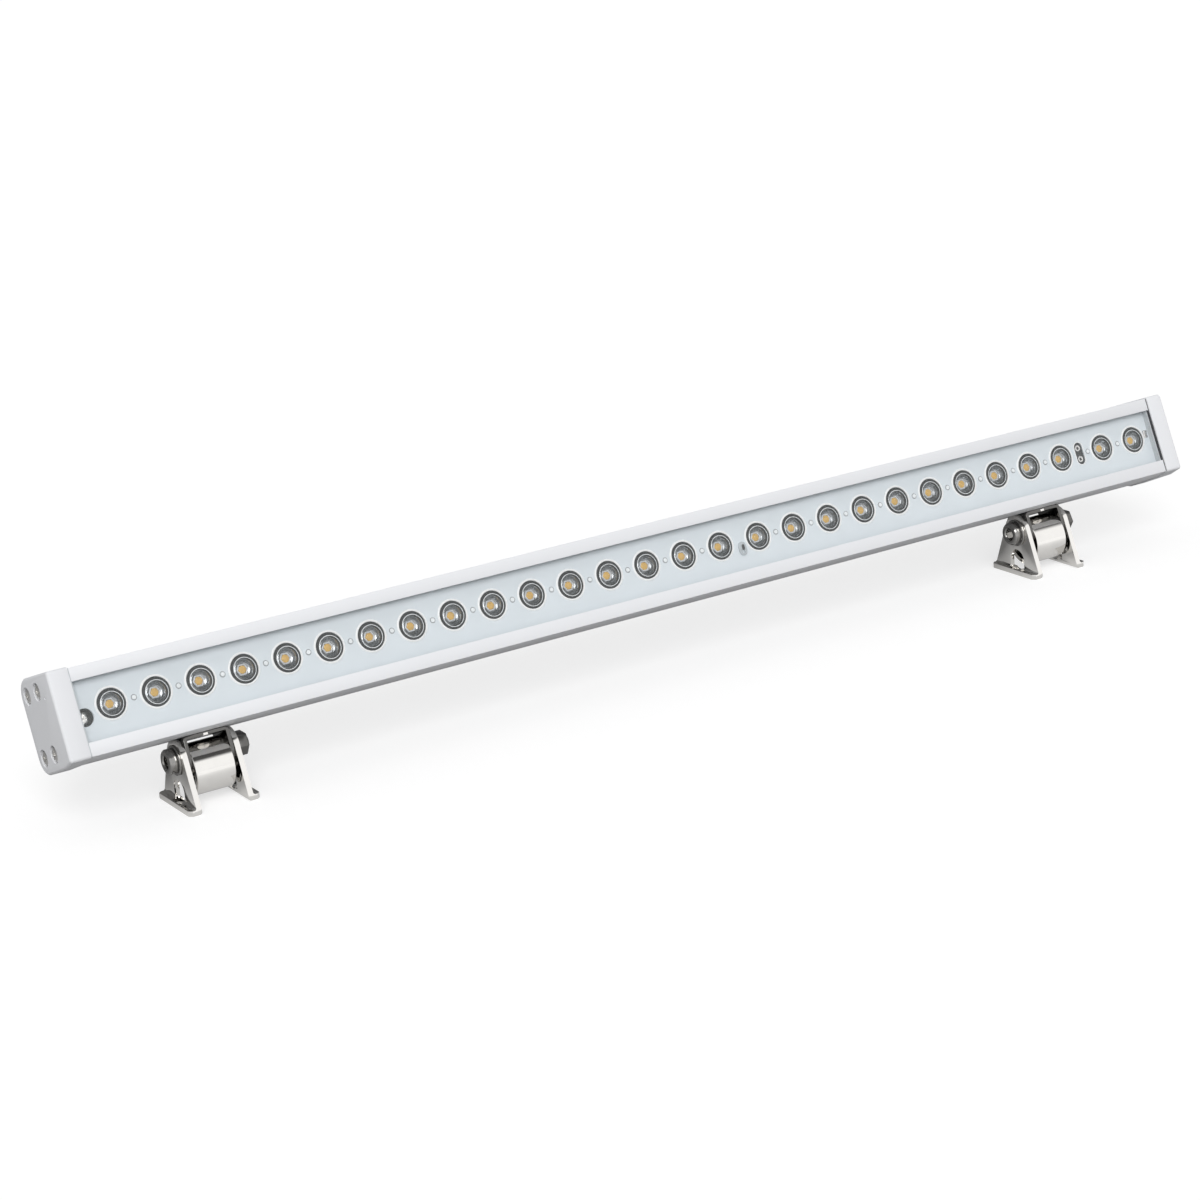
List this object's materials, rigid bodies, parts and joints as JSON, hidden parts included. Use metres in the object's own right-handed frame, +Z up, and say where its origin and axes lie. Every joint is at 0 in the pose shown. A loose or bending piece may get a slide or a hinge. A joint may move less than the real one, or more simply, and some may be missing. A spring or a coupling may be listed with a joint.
{
  "type": "outdoor wall washer light",
  "caption": "Linear aluminium wall washer with a row of lens-covered LEDs behind glass, tilting on two polished steel brackets.",
  "frame": {"origin": "bottom centre of the whole light, on the surface that its feet stand on", "axes": "+X along the lamp, light leaves towards -Y and tilts up, +Z up"},
  "size_m": [1, 0.093, 0.1198],
  "materials": {
    "powder_white": "satin white polyester powder coat",
    "silicone_seal": "matt dark grey silicone",
    "rubber_seal": "matt black rubber",
    "screw_steel": "bright stainless steel",
    "clear_glass": "clear tempered glass",
    "white_panel": "cool white moulded plastic",
    "lens_plastic": "clear acrylic",
    "black_plastic": "black moulded plastic",
    "phosphor": "amber phosphor in silicone",
    "board_white": "white solder resist",
    "board_green": "green solder resist",
    "grey_plastic": "grey nylon",
    "nickel_brass": "nickel plated brass",
    "polished_steel": "mirror polished stainless steel"
  },
  "bodies": {
    "lamp": {"bonding_tab": "screw_steel", "cable_gland_body": "nickel_brass", "cable_gland_nut": "nickel_brass", "cable_gland_seal": "rubber_seal", "collimator_lenses": "lens_plastic", "driver_board": "board_green", "driver_capacitors": "black_plastic", "driver_standoffs": "nickel_brass", "driver_transformer": "black_plastic", "end_cap_left": "powder_white", "end_cap_right": "powder_white", "end_cap_screws_left": "screw_steel", "end_cap_screws_right": "screw_steel", "end_gasket_left": "silicone_seal", "end_gasket_right": "silicone_seal", "front_glass": "clear_glass", "glass_seal_lower": "silicone_seal", "glass_seal_upper": "silicone_seal", "housing_extrusion": "powder_white", "lead_bushes": "screw_steel", "lead_clip": "white_panel", "led_boards": "board_white", "led_chips": "phosphor", "lens_holders": "black_plastic", "lens_panel": "white_panel", "mains_terminal_block": "grey_plastic", "panel_pegs": "lens_plastic", "panel_pillars": "nickel_brass", "panel_screws": "screw_steel", "pressure_vent": "grey_plastic", "saddle_left": "polished_steel", "saddle_right": "polished_steel", "saddle_screws_left": "polished_steel", "saddle_screws_right": "polished_steel", "spacer_tube_left": "polished_steel", "spacer_tube_right": "polished_steel"},
    "left_bracket": {"left_foot_inner": "polished_steel", "left_foot_outer": "polished_steel", "left_pivot_bolt": "polished_steel", "left_pivot_nut": "polished_steel", "left_pivot_washers": "polished_steel"},
    "right_bracket": {"right_foot_inner": "polished_steel", "right_foot_outer": "polished_steel", "right_pivot_bolt": "polished_steel", "right_pivot_nut": "polished_steel", "right_pivot_washers": "polished_steel"}
  },
  "joints": [
    {"name": "left_bracket_tilt", "type": "hinge", "parent": "lamp", "child": "left_bracket", "pos_m": [-0.3935, -0.01949, 0.034], "axis": [1, 0, 0], "range_deg": [-85, 40]},
    {"name": "right_bracket_tilt", "type": "hinge", "parent": "lamp", "child": "right_bracket", "pos_m": [0.3615, -0.01949, 0.034], "axis": [1, 0, 0], "range_deg": [-85, 40]}
  ]
}
